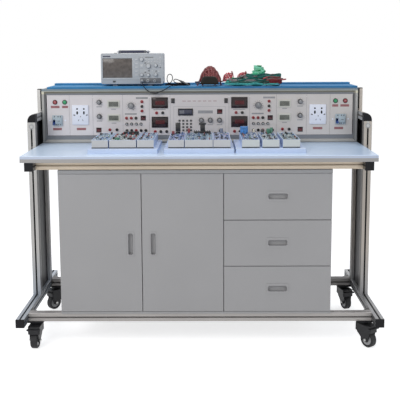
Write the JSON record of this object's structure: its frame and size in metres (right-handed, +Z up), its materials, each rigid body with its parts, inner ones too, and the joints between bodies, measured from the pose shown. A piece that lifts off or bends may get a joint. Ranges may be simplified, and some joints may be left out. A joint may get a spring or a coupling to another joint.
{
  "type": "digital logic trainer bench",
  "caption": "Castor-mounted training bench: extrusion side frames, laminate top, storage cabinet with doors and drawers, and an instrument console.",
  "frame": {"origin": "on the floor, under the middle of the bench's bounding box", "axes": "+X to the right of a user standing in front, +Y to the back of the bench, +Z up"},
  "size_m": [1.68, 0.79, 1.3768],
  "materials": {
    "aluminium": "satin anodised extrusion",
    "black_plastic": "moulded",
    "zinc_steel": "zinc plated",
    "infill": "fine grained sheet",
    "laminate": "pale laminate over board",
    "cabinet_paint": "light grey powder coat",
    "shell_paint": "grey powder coat",
    "internals": "plain",
    "panel_face": "printed panel sheet",
    "blue_mat": "fine grained mat",
    "white_plastic": "moulded",
    "dark_bezel": "moulded",
    "red_plastic": "moulded",
    "black_gloss": "moulded",
    "lcd": "meter bezel and window",
    "led": "dark red display window",
    "scope_body": "textured case",
    "scope_face": "moulded front",
    "handle_grey": "moulded",
    "lead_black": "flexible sheath",
    "lead_mixed": "bundled patch leads",
    "door_paint": "light grey powder coat",
    "castor_black": "black coated pressing",
    "tread": "wheel tread",
    "knob_grey": "moulded",
    "knob_black": "moulded",
    "green_plastic": "moulded",
    "rocker_red": "moulded",
    "rocker_black": "moulded",
    "lever_blue": "moulded",
    "module_white": "moulded"
  },
  "bodies": {
    "bench": {"side_frames": "aluminium", "cross_rails": "aluminium", "black_fittings": "black_plastic", "steel_fittings": "zinc_steel", "infill_panels": "infill", "worktop": "laminate", "cabinet_carcass": "cabinet_paint", "console_shell": "shell_paint", "console_frame": "aluminium", "console_internals": "internals", "front_panels": "panel_face", "top_mat": "blue_mat", "power_fittings": "white_plastic", "switch_bezels": "dark_bezel", "sockets_red": "red_plastic", "sockets_black": "black_gloss", "lcd_meters": "lcd", "led_meters": "led", "scope_case": "scope_body", "scope_front": "scope_face", "probe_lead": "lead_black", "probe_coil": "lead_black", "lead_bundles": "lead_mixed"},
    "fork_front_left": {"castor_fork_front_left": "castor_black"},
    "wheel_front_left": {"castor_wheel_front_left": "tread"},
    "fork_front_right": {"castor_fork_front_right": "castor_black"},
    "wheel_front_right": {"castor_wheel_front_right": "tread"},
    "fork_rear_left": {"castor_fork_rear_left": "castor_black"},
    "wheel_rear_left": {"castor_wheel_rear_left": "tread"},
    "fork_rear_right": {"castor_fork_rear_right": "castor_black"},
    "wheel_rear_right": {"castor_wheel_rear_right": "tread"},
    "door_left": {"door_left": "door_paint"},
    "door_right": {"door_right": "door_paint"},
    "drawer_1": {"drawer_1": "door_paint"},
    "drawer_2": {"drawer_2": "door_paint"},
    "drawer_3": {"drawer_3": "door_paint"},
    "button_red_left": {"button_red_left": "red_plastic"},
    "button_green_left": {"button_green_left": "green_plastic"},
    "button_green_right": {"button_green_right": "green_plastic"},
    "button_red_right": {"button_red_right": "red_plastic"},
    "knob_left_upper": {"knob_left_upper": "knob_black"},
    "knob_left_lower": {"knob_left_lower": "knob_black"},
    "knob_right_upper": {"knob_right_upper": "knob_black"},
    "knob_right_lower": {"knob_right_lower": "knob_black"},
    "knob_coarse": {"knob_coarse": "knob_black"},
    "knob_fine": {"knob_fine": "knob_black"},
    "knob_level": {"knob_level": "knob_black"},
    "knob_selector_left": {"knob_selector_left": "knob_grey"},
    "knob_selector_right": {"knob_selector_right": "knob_grey"},
    "rocker_lcd_left": {"rocker_lcd_left": "rocker_red"},
    "rocker_lcd_right": {"rocker_lcd_right": "rocker_red"},
    "rocker_select_left": {"rocker_select_left": "rocker_black"},
    "rocker_select_right": {"rocker_select_right": "rocker_black"},
    "rocker_generator": {"rocker_generator": "rocker_red"},
    "breaker_lever_left": {"breaker_lever_left": "lever_blue"},
    "breaker_lever_right": {"breaker_lever_right": "lever_blue"},
    "module_tray_1": {"module_tray_1": "module_white"},
    "module_tray_2": {"module_tray_2": "module_white"},
    "module_tray_3": {"module_tray_3": "module_white"},
    "scope_handle": {"scope_handle": "handle_grey"}
  },
  "joints": [
    {"name": "swivel_front_left", "type": "hinge", "parent": "bench", "child": "fork_front_left", "pos_m": [-0.767, -0.289, 0.1], "axis": [0, 0, 1], "continuous": true},
    {"name": "roll_front_left", "type": "hinge", "parent": "fork_front_left", "child": "wheel_front_left", "pos_m": [-0.76815, -0.32198, 0.038], "axis": [0.9994, -0.0349, 0], "continuous": true},
    {"name": "swivel_front_right", "type": "hinge", "parent": "bench", "child": "fork_front_right", "pos_m": [0.767, -0.289, 0.1], "axis": [0, 0, 1], "continuous": true},
    {"name": "roll_front_right", "type": "hinge", "parent": "fork_front_right", "child": "wheel_front_right", "pos_m": [0.7864, -0.3157, 0.038], "axis": [0.809, 0.5878, 0], "continuous": true},
    {"name": "swivel_rear_left", "type": "hinge", "parent": "bench", "child": "fork_rear_left", "pos_m": [-0.767, 0.245, 0.1], "axis": [0, 0, 1], "continuous": true},
    {"name": "roll_rear_left", "type": "hinge", "parent": "fork_rear_left", "child": "wheel_rear_left", "pos_m": [-0.78821, 0.21972, 0.038], "axis": [0.766, -0.6428, 0], "continuous": true},
    {"name": "swivel_rear_right", "type": "hinge", "parent": "bench", "child": "fork_rear_right", "pos_m": [0.767, 0.245, 0.1], "axis": [0, 0, 1], "continuous": true},
    {"name": "roll_rear_right", "type": "hinge", "parent": "fork_rear_right", "child": "wheel_rear_right", "pos_m": [0.7761, 0.21328, 0.038], "axis": [0.9613, 0.2756, 0], "continuous": true},
    {"name": "door_left_hinge", "type": "hinge", "parent": "bench", "child": "door_left", "pos_m": [-0.638, -0.311, 0.5], "axis": [0, 0, 1], "range_deg": [-100, 0]},
    {"name": "door_right_hinge", "type": "hinge", "parent": "bench", "child": "door_right", "pos_m": [0.1055, -0.311, 0.5], "axis": [0, 0, 1], "range_deg": [0, 90]},
    {"name": "drawer_1_slide", "type": "slide", "parent": "bench", "child": "drawer_1", "axis": [0, -1, 0], "range_m": [0, 0.42]},
    {"name": "drawer_2_slide", "type": "slide", "parent": "bench", "child": "drawer_2", "axis": [0, -1, 0], "range_m": [0, 0.42]},
    {"name": "drawer_3_slide", "type": "slide", "parent": "bench", "child": "drawer_3", "axis": [0, -1, 0], "range_m": [0, 0.42]},
    {"name": "button_red_left_push", "type": "slide", "parent": "bench", "child": "button_red_left", "axis": [0, 1, 0], "range_m": [0, 0.003], "stiffness_N_per_m": 400, "springref_m": -0.002},
    {"name": "button_green_left_push", "type": "slide", "parent": "bench", "child": "button_green_left", "axis": [0, 1, 0], "range_m": [0, 0.003], "stiffness_N_per_m": 400, "springref_m": -0.002},
    {"name": "button_green_right_push", "type": "slide", "parent": "bench", "child": "button_green_right", "axis": [0, 1, 0], "range_m": [0, 0.003], "stiffness_N_per_m": 400, "springref_m": -0.002},
    {"name": "button_red_right_push", "type": "slide", "parent": "bench", "child": "button_red_right", "axis": [0, 1, 0], "range_m": [0, 0.003], "stiffness_N_per_m": 400, "springref_m": -0.002},
    {"name": "knob_left_upper_turn", "type": "hinge", "parent": "bench", "child": "knob_left_upper", "pos_m": [-0.5075, 0.111, 1.117], "axis": [0, -1, 0], "range_deg": [-135, 135]},
    {"name": "knob_left_lower_turn", "type": "hinge", "parent": "bench", "child": "knob_left_lower", "pos_m": [-0.5075, 0.111, 1.045], "axis": [0, -1, 0], "range_deg": [-135, 135]},
    {"name": "knob_right_upper_turn", "type": "hinge", "parent": "bench", "child": "knob_right_upper", "pos_m": [0.5075, 0.111, 1.117], "axis": [0, -1, 0], "range_deg": [-135, 135]},
    {"name": "knob_right_lower_turn", "type": "hinge", "parent": "bench", "child": "knob_right_lower", "pos_m": [0.5075, 0.111, 1.047], "axis": [0, -1, 0], "range_deg": [-135, 135]},
    {"name": "knob_coarse_turn", "type": "hinge", "parent": "bench", "child": "knob_coarse", "pos_m": [0.009, 0.111, 1.024], "axis": [0, -1, 0], "range_deg": [-135, 135]},
    {"name": "knob_fine_turn", "type": "hinge", "parent": "bench", "child": "knob_fine", "pos_m": [0.054, 0.111, 1.024], "axis": [0, -1, 0], "range_deg": [-135, 135]},
    {"name": "knob_level_turn", "type": "hinge", "parent": "bench", "child": "knob_level", "pos_m": [0.101, 0.111, 1.024], "axis": [0, -1, 0], "range_deg": [-135, 135]},
    {"name": "knob_selector_left_turn", "type": "hinge", "parent": "bench", "child": "knob_selector_left", "pos_m": [-0.346, 0.111, 1.099], "axis": [0, -1, 0], "range_deg": [-150, 150]},
    {"name": "knob_selector_right_turn", "type": "hinge", "parent": "bench", "child": "knob_selector_right", "pos_m": [0.297, 0.111, 1.099], "axis": [0, -1, 0], "range_deg": [-150, 150]},
    {"name": "rocker_lcd_left_rock", "type": "hinge", "parent": "bench", "child": "rocker_lcd_left", "pos_m": [-0.5115, 0.116, 0.976], "axis": [1, 0, 0], "range_deg": [-16, 0]},
    {"name": "rocker_lcd_right_rock", "type": "hinge", "parent": "bench", "child": "rocker_lcd_right", "pos_m": [0.5095, 0.116, 0.976], "axis": [1, 0, 0], "range_deg": [-16, 0]},
    {"name": "rocker_select_left_rock", "type": "hinge", "parent": "bench", "child": "rocker_select_left", "pos_m": [-0.285, 0.116, 1.036], "axis": [1, 0, 0], "range_deg": [-16, 0]},
    {"name": "rocker_select_right_rock", "type": "hinge", "parent": "bench", "child": "rocker_select_right", "pos_m": [0.357, 0.116, 1.036], "axis": [1, 0, 0], "range_deg": [-16, 0]},
    {"name": "rocker_generator_rock", "type": "hinge", "parent": "bench", "child": "rocker_generator", "pos_m": [0.102, 0.116, 1.068], "axis": [1, 0, 0], "range_deg": [-16, 0]},
    {"name": "breaker_lever_left_throw", "type": "hinge", "parent": "bench", "child": "breaker_lever_left", "pos_m": [-0.7365, 0.122, 1.017], "axis": [1, 0, 0], "range_deg": [-36, 0]},
    {"name": "breaker_lever_right_throw", "type": "hinge", "parent": "bench", "child": "breaker_lever_right", "pos_m": [0.6945, 0.122, 1.019], "axis": [1, 0, 0], "range_deg": [-36, 0]},
    {"name": "module_tray_1_lift", "type": "slide", "parent": "bench", "child": "module_tray_1", "axis": [0, 0, 1], "range_m": [0, 0.12]},
    {"name": "module_tray_2_lift", "type": "slide", "parent": "bench", "child": "module_tray_2", "axis": [0, 0, 1], "range_m": [0, 0.12]},
    {"name": "module_tray_3_lift", "type": "slide", "parent": "bench", "child": "module_tray_3", "axis": [0, 0, 1], "range_m": [0, 0.12]},
    {"name": "scope_handle_fold", "type": "hinge", "parent": "bench", "child": "scope_handle", "pos_m": [-0.3455, 0.297, 1.368], "axis": [1, 0, 0], "range_deg": [-90, 0]}
  ]
}
